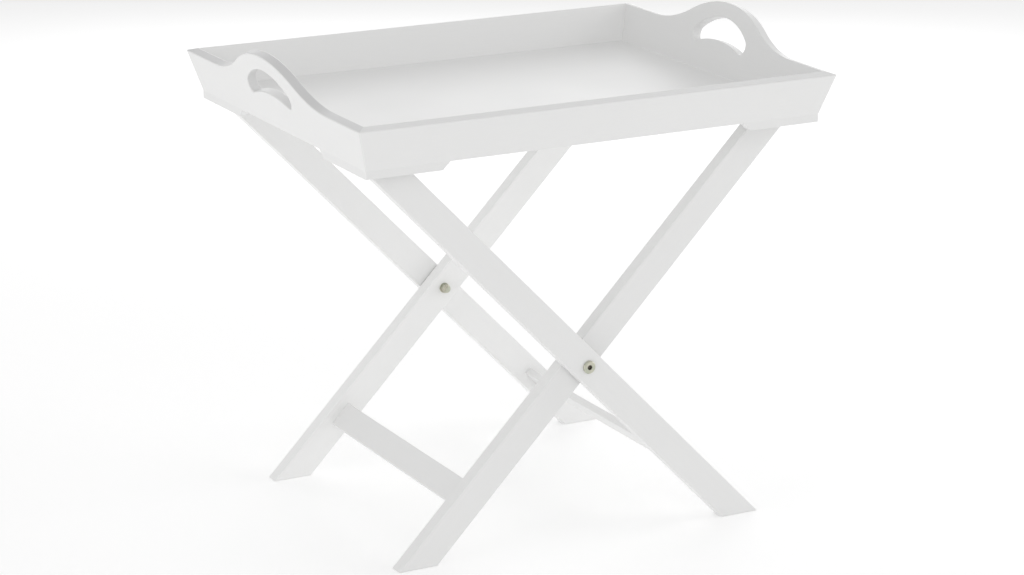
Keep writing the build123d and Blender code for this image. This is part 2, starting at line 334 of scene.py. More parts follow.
class Shader:
    """A material under construction: a Principled shader and helpers that wire nodes to it."""

    def __init__(self, name: str) -> None:
        """Start a material.

        Args:
            name: Name of the material.
        """
        self.material = bpy.data.materials.new(name)
        self.material.use_nodes = True
        self.tree = self.material.node_tree
        self.surface = self.tree.nodes["Principled BSDF"]

    def node(self, kind: str, **values: object) -> bpy.types.Node:
        """Add a node.

        Args:
            kind: Type of node.
            values: Values by name: those that name an input fill it, the others are set on the node.

        Returns:
            The new node.
        """
        made = self.tree.nodes.new(kind)
        for key, value in values.items():
            spoken = key.replace("_", " ")
            found = [s for s in made.inputs if s.name.lower() == spoken]
            if found:
                found[0].default_value = value
            else:
                setattr(made, key, value)
        return made

    def link(self, source: Socket, target: Socket) -> None:
        """Join an output to an input."""
        self.tree.links.new(source, target)

    def coordinates(self, pattern: Pattern, scale: Triple) -> Socket:
        """Stretched coordinates of a piece.

        Args:
            pattern: Whether to read the piece's own grain or its object coordinates.
            scale: Repeats per metre along, across and through the piece.

        Returns:
            The scaled vector.
        """
        if pattern is Pattern.GRAIN:
            source = self.node("ShaderNodeAttribute", attribute_name="grain").outputs["Vector"]
        else:
            source = self.node("ShaderNodeTexCoord").outputs["Object"]
        mapping = self.node("ShaderNodeMapping", vector_type="POINT", scale=scale)
        self.link(source, mapping.inputs["Vector"])
        return mapping.outputs["Vector"]

    def noise(self, vector: Socket, scale: float, detail: float, rough: float) -> Socket:
        """Noise of one scale.

        Args:
            vector: Where the noise is read.
            scale: Repeats per unit of the vector.
            detail: Octaves of finer noise.
            rough: Weight of the finer noise.

        Returns:
            The noise, about 0 to 1.
        """
        made = self.node("ShaderNodeTexNoise", scale=scale, detail=detail, roughness=rough)
        self.link(vector, made.inputs["Vector"])
        return made.outputs["Fac"]

    def range(
        self, value: Socket, source: tuple[float, float], target: tuple[float, float]
    ) -> Socket:
        """Map a value from one range to another.

        Args:
            value: The value to map.
            source: Its lowest and highest value.
            target: What they become.

        Returns:
            The mapped value.
        """
        limits = dict(from_min=source[0], from_max=source[1], to_min=target[0], to_max=target[1])
        made = self.node("ShaderNodeMapRange", **limits)
        self.link(value, made.inputs["Value"])
        return made.outputs["Result"]

    def mix(self, share: Socket, first: object, second: object) -> Socket:
        """Blend two colours.

        Args:
            share: Share of the second colour.
            first: A socket or a fixed colour.
            second: A socket or a fixed colour.

        Returns:
            The blend.
        """
        made = self.node("ShaderNodeMix", data_type="RGBA")
        self.link(share, made.inputs[0])
        for socket, colour in ((made.inputs[6], first), (made.inputs[7], second)):
            if isinstance(colour, Socket):
                self.link(colour, socket)
            else:
                socket.default_value = (*colour, 1.0)
        return made.outputs[2]

    def bump(self, height: Socket, depth: float, before: Socket | None = None) -> Socket:
        """Raise a surface.

        Args:
            height: Height, 0 to 1.
            depth: Rise in metres where the height is 1.
            before: An earlier bump that this one lies on.

        Returns:
            The new normal.
        """
        made = self.node("ShaderNodeBump", strength=1.0, distance=depth)
        self.link(height, made.inputs["Height"])
        if before is not None:
            self.link(before, made.inputs["Normal"])
        return made.outputs["Normal"]


@dataclass(frozen=True)
class SatinPaint:
    """White satin enamel, brushed along the grain of the wood under it.

    Attributes:
        name: Material name.
        white: Colour of the sound paint.
        shade: Colour where the film is thinner, in the brush marks.
        rubbed: Colour of the rubbed arrises.
        painted_edge_shade: Grey painted onto sawn edges and grips as their shade.
        gloss: Roughness of the film.
        relief: Depth of the brush marks.
        stretch: Stretch of the brush marks along, across and through the piece.
        strokes: Repeats of the brush marks, before they are stretched.
        clouds: Repeats per metre of the slow changes in the film.
        peel: Repeats per metre of the film's fine texture.
        rubs: Repeats per metre of the worn spots on the arrises.
    """

    name: str
    white: Triple = (0.83, 0.83, 0.825)
    shade: Triple = (0.80, 0.80, 0.795)
    rubbed: Triple = (0.79, 0.787, 0.775)
    # Painted shade: the grey mixed into sawn edges and grips.
    painted_edge_shade: Triple = (0.63, 0.63, 0.63)
    gloss: float = 0.36
    relief: float = 0.04 * MM
    stretch: Triple = (6.0, 120.0, 120.0)
    strokes: float = 6.0
    clouds: float = 9.0
    peel: float = 900.0
    rubs: float = 60.0

    def make(self) -> Material:
        """Build the material.

        Returns:
            The finished material.
        """
        paint = Shader(self.name)
        evenly = (1.0, 1.0, 1.0)
        strokes = paint.noise(paint.coordinates(Pattern.GRAIN, self.stretch), self.strokes, 2.0, 0.5)
        clouds = paint.noise(paint.coordinates(Pattern.GRAIN, evenly), self.clouds, 2.0, 0.4)
        peel = paint.noise(paint.coordinates(Pattern.GRAIN, evenly), self.peel, 2.0, 0.5)
        patchy = paint.noise(paint.coordinates(Pattern.GRAIN, evenly), self.rubs, 4.0, 0.6)
        worn = paint.node("ShaderNodeAttribute", attribute_name="arris").outputs["Fac"]
        share = paint.node("ShaderNodeMath", operation="MULTIPLY")
        paint.link(worn, share.inputs[0])
        paint.link(paint.range(patchy, (0.45, 0.75), (0.0, 0.7)), share.inputs[1])
        film = paint.mix(paint.range(strokes, (0.1, 0.9), (0.0, 0.7)), self.white, self.shade)
        film = paint.mix(paint.range(clouds, (0.1, 0.9), (0.0, 0.6)), film, self.shade)
        film = paint.mix(share.outputs[0], film, self.rubbed)
        # Painted shade: sawn edges are greyed towards the shade colour, by the share that each piece sets.
        edge = paint.node("ShaderNodeAttribute", attribute_name="painted_shade").outputs["Fac"]
        paint.link(paint.mix(edge, film, self.painted_edge_shade), paint.surface.inputs["Base Color"])
        gloss = paint.range(clouds, (0.1, 0.9), (self.gloss - 0.05, self.gloss + 0.07))
        paint.link(gloss, paint.surface.inputs["Roughness"])
        normal = paint.bump(peel, self.relief / 4, paint.bump(strokes, self.relief))
        paint.link(normal, paint.surface.inputs["Normal"])
        return paint.material


@dataclass(frozen=True)
class YellowZinc:
    """Yellow-passivated zinc plate, with the greenish and straw clouds of the dip.

    Attributes:
        name: Material name.
        straw: Commonest colour.
        green: Colour of the broad clouds.
        rose: Colour of the rarer spots.
        painted_socket_shade: Near-black painted inside a socket as its shade.
        gloss: Least and greatest roughness.
        relief: Depth of the plate's fine texture.
    """

    name: str = "yellow_zinc"
    straw: Triple = (0.62, 0.60, 0.50)
    green: Triple = (0.50, 0.52, 0.43)
    rose: Triple = (0.60, 0.53, 0.47)
    # Painted shade: near-black for the inside of a socket.
    painted_socket_shade: Triple = (0.05, 0.04, 0.025)
    gloss: tuple[float, float] = (0.29, 0.46)
    relief: float = 0.02 * MM

    def make(self) -> Material:
        """Build the material.

        Returns:
            The finished material.
        """
        plate = Shader(self.name)
        spots = plate.coordinates(Pattern.OBJECT, (1.0, 1.0, 1.0))
        clouds = plate.range(plate.noise(spots, 160.0, 3.0, 0.5), (0.35, 0.65), (0.0, 1.0))
        blooms = plate.range(plate.noise(spots, 90.0, 2.0, 0.5), (0.55, 0.8), (0.0, 0.7))
        tone = plate.mix(blooms, plate.mix(clouds, self.straw, self.green), self.rose)
        # Painted shade: inside a socket the plate turns near-black and loses most of its metal.
        shaded = plate.node("ShaderNodeAttribute", attribute_name="painted_shade").outputs["Fac"]
        plate.link(plate.mix(shaded, tone, self.painted_socket_shade), plate.surface.inputs["Base Color"])
        plate.link(plate.range(shaded, (0.0, 1.0), (1.0, 0.2)), plate.surface.inputs["Metallic"])
        matt = plate.noise(spots, 400.0, 3.0, 0.6)
        plate.link(plate.range(matt, (0.3, 0.7), self.gloss), plate.surface.inputs["Roughness"])
        grit = plate.noise(spots, 1500.0, 3.0, 0.6)
        plate.link(plate.bump(grit, self.relief), plate.surface.inputs["Normal"])
        return plate.material


@dataclass(frozen=True)
class PlainStock:
    """Bare beech or bright steel of the hidden pins.

    Attributes:
        name: Material name.
        light: Lighter colour.
        dark: Darker colour.
        metal: Whether the pin is metal.
        gloss: Least and greatest roughness.
        relief: Depth of the fine lines along it.
    """

    name: str
    light: Triple
    dark: Triple
    metal: bool
    gloss: tuple[float, float] = (0.35, 0.55)
    relief: float = 0.03 * MM

    def make(self) -> Material:
        """Build the material.

        Returns:
            The finished material.
        """
        stock = Shader(self.name)
        lines = stock.noise(stock.coordinates(Pattern.OBJECT, (1.0, 0.08, 1.0)), 700.0, 4.0, 0.6)
        tone = stock.mix(stock.range(lines, (0.35, 0.65), (0.0, 1.0)), self.light, self.dark)
        stock.link(tone, stock.surface.inputs["Base Color"])
        stock.surface.inputs["Metallic"].default_value = 1.0 if self.metal else 0.0
        stock.link(stock.range(lines, (0.3, 0.7), self.gloss), stock.surface.inputs["Roughness"])
        stock.link(stock.bump(lines, self.relief), stock.surface.inputs["Normal"])
        return stock.material


def dress(piece: bpy.types.Object, material: Material) -> None:
    """Give a piece one material, whatever it had."""
    piece.data.materials.clear()
    piece.data.materials.append(material)


def settle(piece: bpy.types.Object, node: str, body: str, material: Material) -> None:
    """Put a new piece in a CAD node's place.

    Args:
        piece: The new piece.
        node: The CAD node it stands for.
        body: The body it moves with.
        material: Its finish.
    """
    dress(piece, material)
    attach(piece, body)
    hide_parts(node)
    LOG.info("%s: %d points for %s", piece.name, len(piece.data.vertices), node)


# --- The tray --------------------------------------------------------------------------------


@dataclass
class Tray:
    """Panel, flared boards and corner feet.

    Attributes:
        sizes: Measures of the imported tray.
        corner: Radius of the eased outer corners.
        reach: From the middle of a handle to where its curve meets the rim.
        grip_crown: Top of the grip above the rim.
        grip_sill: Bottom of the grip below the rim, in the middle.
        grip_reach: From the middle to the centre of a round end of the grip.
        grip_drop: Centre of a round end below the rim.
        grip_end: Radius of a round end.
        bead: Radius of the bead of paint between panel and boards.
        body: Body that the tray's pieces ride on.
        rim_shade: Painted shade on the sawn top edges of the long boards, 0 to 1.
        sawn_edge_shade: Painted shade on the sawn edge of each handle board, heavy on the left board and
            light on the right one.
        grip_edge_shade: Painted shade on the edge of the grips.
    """

    sizes: TrayMeasures
    corner: float = 2.2 * MM
    reach: float = 150 * MM
    grip_crown: float = 21.0 * MM
    grip_sill: float = 5.7 * MM
    grip_reach: float = 48.5 * MM
    grip_drop: float = 4.5 * MM
    grip_end: float = 9.0 * MM
    bead: float = 0.9 * MM
    body: str = "tray"
    # Painted shade on the sawn edges, set per board: far more on the left handle board than on the right
    # one, for how the light falls on them.
    rim_shade: float = 0.22
    sawn_edge_shade: dict[str, float] = field(default_factory=lambda: {"left": 1.0, "right": 0.2})
    grip_edge_shade: float = 0.3

    def mitre_rows(self) -> tuple[np.ndarray, np.ndarray]:
        """Rows of a mitred end whose outer corner is an eighth of a circle.

        Returns:
            Inset of the outer face's corner and its depth at each row, from the mitre inwards.
        """
        turn = np.linspace(pi / 4, 0, 5)
        inset = self.corner * (1 - np.sin(turn))
        depth = self.corner * (1 - np.cos(turn))
        return np.append(inset, self.corner + SOFT.hold), np.append(depth, 0.0)

    def mitred_bar(
        self, across: np.ndarray, z: np.ndarray, length: np.ndarray, arris: np.ndarray
    ) -> Surface:
        """Bar with both ends mitred at 45 degrees, lying along the first axis.

        Args:
            across: Depth of each section point behind the outer face.
            z: Height of each section point.
            length: Half length of the outer face at each section point.
            arris: Wear of each section point.

        Returns:
            The surface in the bar's own axes: along, depth, height.
        """
        inset, depth = self.mitre_rows()
        end_inset = np.maximum(across, inset[0])[None] + (inset - inset[0])[:, None]
        end_depth = np.maximum(across[None], depth[:, None])
        along = length[None] - end_inset
        along = np.concatenate([-along, np.zeros_like(length)[None], along[::-1]])
        back = np.concatenate([end_depth, across[None], end_depth[::-1]])
        height = np.broadcast_to(z, along.shape)
        points = np.stack([along, back, height], axis=-1)
        return Surface(points, points.copy(), np.broadcast_to(arris, along.shape).copy())

    def panel(self, paint: Material) -> None:
        """Panel: a sheet with bevelled edges, and a bead of paint where it meets the boards.

        Args:
            paint: Its finish.
        """
        s = self.sizes
        thick = high("tray_panel")[2] - s.underside
        turn = np.linspace(0, pi / 2, 5)
        into = np.concatenate([[0.0, 0.0], self.bead * (1 - np.cos(turn)), [2 * self.bead]])
        rise = np.concatenate([[0.0, 1.0 * MM], thick + self.bead * (1 - np.sin(turn)), [thick]])
        height = s.underside + rise
        into[2] = 0.0
        x, y = s.outside_x(height) - s.span - into, s.outside_y(height) - s.span - into
        side = np.linspace(-1, 1, 33)[:-1]
        one = np.ones_like(side)
        sides = ((side, -one), (one, side), (-side, one), (-one, -side))
        around = np.concatenate([np.stack(share, axis=1) for share in sides])
        level = np.repeat(height[:, None], len(around), 1)
        points = np.stack([x[:, None] * around[:, 0], y[:, None] * around[:, 1], level], axis=-1)
        flat = Surface(points, points.copy(), np.zeros(points.shape[:2]))
        settle(make_piece("painted_panel", [flat]), "tray_panel", self.body, paint)

    def long_boards(self, paints: dict[str, Material]) -> None:
        """Front and back boards: an eased section, leaning outwards, between two mitres.

        Args:
            paints: Finish of the front board, and a lighter copy of it for the back board as painted
                light.
        """
        s = self.sizes
        loop, arris = SOFT.section(s.span, s.rim - s.underside, square=(0, 3))
        across, z = loop[:, 0], loop[:, 1] + s.underside
        for name, side in FRONT_BACK:
            bar = self.mitred_bar(across, z, s.outside_x(s.squared(z, across)), arris)
            along, back, height = np.moveaxis(bar.points, -1, 0)
            # Painted shade: the level top edge of each long board is greyed.
            bar.painted_shade = self.rim_shade * (height > s.rim - WELD)
            height = s.squared(height, back)
            bar.points = np.stack([along, side * (s.outside_y(height) - back), height], axis=-1)
            piece = make_piece(f"painted_{name}_board", [bar])
            settle(piece, f"tray_{name}_board", self.body, paints[name])

    def feet(self, paint: Material) -> None:
        """Corner feet: bars mitred at the corner and bevelled at 45 degrees at the free end.

        Args:
            paint: Their finish.
        """
        s = self.sizes
        loop, arris = FINE.section(s.foot_across, s.underside - s.foot_bottom, square=(1, 2))
        across, z = loop[:, 0], loop[:, 1] + s.foot_bottom
        inset, depth = self.mitre_rows()
        free_inset, free_back = FINE.ends()
        for arm_name, arm in (("long", s.long_arm), ("short", s.short_arm)):
            start = np.maximum(across, inset[0])[None] + (inset - inset[0])[:, None]
            start_depth = np.maximum(across[None], depth[:, None])
            stop = (arm - (s.underside - z))[None] - free_back[::-1, None]
            keep = free_inset[::-1, None]
            stop_depth = np.clip(across[None], keep, s.foot_across - keep)
            stop_z = np.clip(z[None], s.foot_bottom + keep, s.underside - keep)
            along = np.concatenate([start, stop])
            back = np.concatenate([start_depth, stop_depth])
            height = np.concatenate([np.broadcast_to(z, start.shape), stop_z])
            grain = np.stack([along, back, height], axis=-1)
            wear = np.broadcast_to(arris, along.shape).copy()
            for x_name, side_x in LEFT_RIGHT:
                for y_name, side_y in FRONT_BACK:
                    from_x, from_y = (along, back) if arm_name == "long" else (back, along)
                    x, y = side_x * (s.base_x - from_x), side_y * (s.base_y - from_y)
                    node = f"foot_{y_name}_{x_name}_{arm_name}"
                    surface = Surface(np.stack([x, y, height], axis=-1), grain, wear)
                    piece = make_piece(f"painted_{node}", [surface])
                    settle(piece, node, self.body, paint)

    def handle_top(self, y: np.ndarray) -> np.ndarray:
        """Upper edge of a handle board: a convex arc from the crown, then a hollow arc of the same
        radius that runs out level at the rim.

        Args:
            y: Distances from the middle of the board.

        Returns:
            Height of the edge.
        """
        s = self.sizes
        rise = s.crown - s.rim
        radius = (self.reach**2 + rise**2) / (4 * rise)
        y = np.abs(y)
        convex = s.crown - radius + np.sqrt(np.maximum(radius**2 - y**2, 0))
        hollow = s.rim + radius - np.sqrt(np.maximum(radius**2 - (self.reach - y) ** 2, 0))
        return np.where(y < self.reach / 2, convex, np.where(y < self.reach, hollow, s.rim))

    def grip_edges(self, y: np.ndarray) -> tuple[np.ndarray, np.ndarray]:
        """Lower and upper edge of the grip: two wide arcs, tangent to its round ends.

        Args:
            y: Distances from the middle of the grip, no further than its ends.

        Returns:
            Height of the lower and of the upper edge.
        """
        rim, reach, end = self.sizes.rim, self.grip_reach, self.grip_end
        centre = rim - self.grip_drop
        above, below = self.grip_crown + self.grip_drop, self.grip_sill - self.grip_drop
        upper = (reach**2 + above**2 - end**2) / (2 * (above - end))
        lower = (reach**2 + below**2 - end**2) / (2 * (end - below))
        y = np.abs(y)
        round_end = np.sqrt(np.maximum(end**2 - (y - reach) ** 2, 0))
        upper_meets = reach + end * reach / np.hypot(reach, upper - above)
        lower_meets = reach - end * reach / np.hypot(reach, lower + below)
        upper_arc = rim + self.grip_crown - upper + np.sqrt(upper**2 - y**2)
        lower_arc = rim - self.grip_sill - lower + np.sqrt(lower**2 - y**2)
        top = np.where(y < upper_meets, upper_arc, centre + round_end)
        bottom = np.where(y < lower_meets, lower_arc, centre - round_end)
        return bottom, top

    def handle_loops(self, inset: float) -> tuple[np.ndarray, np.ndarray, np.ndarray, np.ndarray]:
        """Four lines across a handle board's face, all shrunk into the wood by inset.

        Args:
            inset: Distance into the wood from the board's own edges.

        Returns:
            Bottom edge, lower and upper edge of the grip (one line outside the grip) and top edge,
            each shaped (columns, 2) as y and z.
        """
        s = self.sizes
        tip = self.grip_reach + self.grip_end
        hole = tip * np.sin(np.linspace(-pi / 2, pi / 2, 57))
        wide = np.concatenate([tip + (self.reach - tip) * np.linspace(0, 1, 25)[1:], [0.9 * s.half_depth]])
        side = np.append(wide, s.half_depth)
        y = np.concatenate([-side[::-1], hole, side])
        top = np.stack([y, self.handle_top(y)], axis=1)
        run = np.gradient(top, axis=0)
        run /= np.linalg.norm(run, axis=1, keepdims=True)
        top = top + inset * np.stack([run[:, 1], -run[:, 0]], axis=1)
        bottom = np.stack([y, np.full_like(y, s.underside)], axis=1)
        level = np.full_like(y, s.rim - self.grip_drop)
        inside = slice(len(side), len(side) + len(hole))
        under, over = self.grip_edges(hole)
        ring = np.concatenate([np.stack([hole, over], axis=1), np.stack([hole, under], axis=1)[-2:0:-1]])
        step = np.roll(ring, -1, axis=0) - np.roll(ring, 1, axis=0)
        step /= np.linalg.norm(step, axis=1, keepdims=True)
        ring = ring + inset * np.stack([-step[:, 1], step[:, 0]], axis=1)
        sill, lintel = np.stack([y, level], axis=1), np.stack([y, level], axis=1)
        lintel[inside] = ring[: len(hole)]
        sill[inside] = np.concatenate([ring[:1], ring[: len(hole) - 2 : -1]])
        return bottom, sill, lintel, top

    def handle_boards(self, paint: Material) -> None:
        """Handle boards: two faces filled between the lines of handle_loops, and walls through the
        board's thickness round its outside and round the grip.

        Args:
            paint: Their finish.
        """
        s = self.sizes
        inset, back = SOFT.ends()
        depth = np.concatenate([back, s.span - back[::-1]])
        inset = np.concatenate([inset, inset[::-1]])
        turn = np.linspace(0, pi / 4, SOFT.steps + 1)
        ease = self.corner * np.stack([1 - np.sin(turn), 1 - np.cos(turn)])
        corner_inset = np.concatenate([[self.corner + SOFT.hold], ease[0], [depth[SOFT.steps + 2]]])
        corner_depth = np.concatenate([[0.0], ease[1], [depth[SOFT.steps + 2]]])
        half = len(back)
        corner_inset = np.concatenate([corner_inset, depth[half:]])
        corner_depth = np.concatenate([corner_depth, depth[half:]])

        def place(flat: np.ndarray, row: int, side: float) -> np.ndarray:
            """Carry a line of the face to one row of the thickness, ends drawn to the mitre.

            Args:
                flat: The line, as y and z.
                row: Row of the thickness, from the outer face inwards.
                side: -1 for the left board, 1 for the right one.

            Returns:
                The points in the frame's axes.
            """
            y, z = flat[..., 0], flat[..., 1]
            at_end = np.abs(y) > s.half_depth - WELD
            into = np.clip(SOFT.radius - (s.rim - z), 0, SOFT.radius)
            rounded = SOFT.radius - np.sqrt(SOFT.radius**2 - into**2)
            through = np.where(at_end, np.maximum(corner_depth[row], rounded), depth[row])
            height = s.squared(z, through)
            end = s.outside_y(height) - np.maximum(corner_inset[row], rounded)
            past = np.maximum(np.abs(y) - self.reach, 0) / (s.half_depth - self.reach)
            across = y + np.sign(y) * past * (end - s.half_depth)
            return np.stack([side * (s.outside_x(height) - through), across, height], axis=-1)

        for name, side in LEFT_RIGHT:
            surfaces = []
            rows = [self.handle_loops(e) for e in inset]
            share = np.linspace(0, 1, 5)[:, None, None]
            for row in (0, len(inset) - 1):
                bottom, sill, lintel, top = rows[row]
                for first, second in ((bottom, sill), (lintel, top)):
                    flat = first[None] * (1 - share) + second[None] * share
                    points = place(flat, row, side)
                    grain = points[..., [1, 2, 0]]
                    surfaces.append(Surface(points, grain, np.zeros(points.shape[:2]), False, False))
            rings = {"outside": [], "grip": []}
            for row, (bottom, sill, lintel, top) in enumerate(rows):
                ends = []
                for column in (-1, 0):
                    lower = bottom[column] * (1 - share[:, 0]) + sill[column] * share[:, 0]
                    upper = lintel[column] * (1 - share[:, 0]) + top[column] * share[:, 0]
                    ends.append(np.concatenate([lower, upper[1:]]))
                loop = np.concatenate([bottom, ends[0][1:-1], top[::-1], ends[1][-2:0:-1]])
                rings["outside"].append(place(loop, row, side))
                opened = np.hypot(*(lintel - sill).T) > WELD
                first, last = np.flatnonzero(opened)[[0, -1]] + (-1, 1)
                loop = np.concatenate([lintel[first:last], sill[last:first:-1]])
                rings["grip"].append(place(loop, row, side))
            for ring_name, ring in rings.items():
                points = np.stack(ring)
                eased = ((inset > 0) & (inset <= SOFT.radius)).astype(float)
                worn = np.repeat(eased[:, None], points.shape[1], 1)
                # Painted shade: the sawn outside edge and the grip's edge are greyed, by board.
                painted_shade = np.repeat((inset < WELD).astype(float)[:, None], points.shape[1], 1)
                painted_shade *= self.sawn_edge_shade[name] if ring_name == "outside" else self.grip_edge_shade
                surfaces.append(Surface(points, points[..., [1, 2, 0]], worn, True, False, painted_shade))
            piece = make_piece(f"painted_{name}_handle_board", surfaces)
            settle(piece, f"tray_{name}_handle_board", self.body, paint)


# --- The stand -------------------------------------------------------------------------------


@dataclass
class StandFrame:
    """One frame of the stand: two legs, a rung and a rail under the tray.

    Attributes:
        name: Name of the frame, and of its body with "_frame" added.
        lean: -1 where the tops of the legs lie towards -X, 1 where they lie towards +X.
        angle: Angle of the legs from the vertical, with the stand open.
        width: Width of a leg in the plane that it swings in.
        rung_width: Width of the rung, along the leg.
        rung_thickness: Thickness of the rung, across the leg.
        rung_distance: From the pivot to the middle of the rung.
    """

    name: str
    lean: float
    angle: float = radians(44.2)
    width: float = 35.0 * MM
    rung_width: float = 32.0 * MM
    rung_thickness: float = 9.0 * MM
    rung_distance: float = 198.5 * MM

    @property
    def body(self) -> str:
        """Name of the body that this frame's pieces ride on."""
        return f"{self.name}_frame"

    def axes(self) -> tuple[np.ndarray, np.ndarray, np.ndarray]:
        """Directions of a leg.

        Returns:
            Up the leg, across it (in the plane that it swings in), and along Y.
        """
        up = np.array([self.lean * sin(self.angle), 0.0, cos(self.angle)])
        across = np.array([cos(self.angle), 0.0, -self.lean * sin(self.angle)])
        return up, across, np.array([0.0, 1.0, 0.0])

    def pivot(self) -> np.ndarray:
        """Middle of the pivot bolts, on the stand's middle plane."""
        middle = (low("pivot_bolt_front") + high("pivot_bolt_front")) / 2
        return np.array([0.0, 0.0, middle[2]])

    def legs(self, paints: dict[str, Material]) -> None:
        """Legs: an eased rectangle carried up the leg, cut level at the ground and under the tray,
        and upright where it bears on the tray's foot.

        Args:
            paints: Finish of the front leg, and a lighter copy of it for the back leg as painted light.
        """
        up, across, _ = self.axes()
        pivot = self.pivot()
        inset, back = SOFT.ends()
        for name in ("front", "back"):
            node = f"{self.name}_leg_{name}"
            bottom, top = low(node), high(node)
            stop = -bottom[0] if self.lean < 0 else top[0]
            thick = top[1] - bottom[1]
            loop, arris = SOFT.section(self.width, thick)
            half_w, half_t = self.width / 2, thick / 2
            w, t = loop[:, 0] - half_w, loop[:, 1] - half_t
            rings = np.concatenate([np.linspace(half_t, inset[0], 5)[:-1], inset])
            rows_back = np.concatenate([np.zeros(4), back])
            surfaces, grains, wears = [], [], []
            for end in (-1, 1):
                order = slice(None) if end < 0 else slice(None, None, -1)
                for e, d in zip(rings[order], rows_back[order]):
                    ring_w = np.clip(w, e - half_w, half_w - e)
                    ring_t = np.clip(t, e - half_t, half_t - e)
                    if end < 0:
                        s = (bottom[2] + d - pivot[2] - across[2] * ring_w) / up[2]
                    else:
                        level = (top[2] - d - pivot[2] - across[2] * ring_w) / up[2]
                        upright = (self.lean * (stop - d) - across[0] * ring_w) / up[0]
                        s = np.minimum(level, upright)
                    spot = pivot + up * s[:, None] + across * ring_w[:, None]
                    spot[:, 1] = (bottom[1] + top[1]) / 2 + ring_t
                    surfaces.append(spot)
                    grains.append(np.stack([s, ring_w, ring_t], axis=1))
                    wears.append(np.maximum(arris, float(0 < e <= SOFT.radius)))
            surface = Surface(np.stack(surfaces), np.stack(grains), np.stack(wears), True, True)
            settle(make_piece(f"painted_{node}", [surface]), node, self.body, paints[name])

    def slat(
        self, node: str, middle: np.ndarray, wide: np.ndarray, size: tuple[float, float], paint: Material
    ) -> None:
        """Rung or rail: an eased rectangle carried along Y between the legs.

        Args:
            node: CAD node that it stands for.
            middle: Its centre.
            wide: Direction of its width.
            size: Its width and thickness.
            paint: Its finish.
        """
        loop, arris = SOFT.section(*size)
        u, v = loop[:, 0] - size[0] / 2, loop[:, 1] - size[1] / 2
        thin = np.array([-wide[2], 0.0, wide[0]])
        stations = np.linspace(low(node)[1], high(node)[1], 9)
        across = middle + wide * u[:, None] + thin * v[:, None]
        points = np.repeat(across[None], len(stations), 0)
        points[..., 1] = stations[:, None]
        shape = points.shape[:2]
        grain = np.stack([points[..., 1], np.broadcast_to(u, shape), np.broadcast_to(v, shape)], -1)
        surface = Surface(points, grain, np.repeat(arris[None], len(stations), 0))
        settle(make_piece(f"painted_{node}", [surface]), node, self.body, paint)

    def slats(self, paint: Material) -> None:
        """Rung between the legs near the ground, and rail between their tops.

        Args:
            paint: Their finish.
        """
        up, _, _ = self.axes()
        middle = self.pivot() - up * self.rung_distance
        self.slat(f"{self.name}_rung", middle, up, (self.rung_width, self.rung_thickness), paint)
        node = f"{self.name}_top_rail"
        size = high(node) - low(node)
        centre = (high(node) + low(node)) / 2
        self.slat(node, centre, np.array([1.0, 0.0, 0.0]), (size[0], size[2]), paint)


# --- The pivots ------------------------------------------------------------------------------


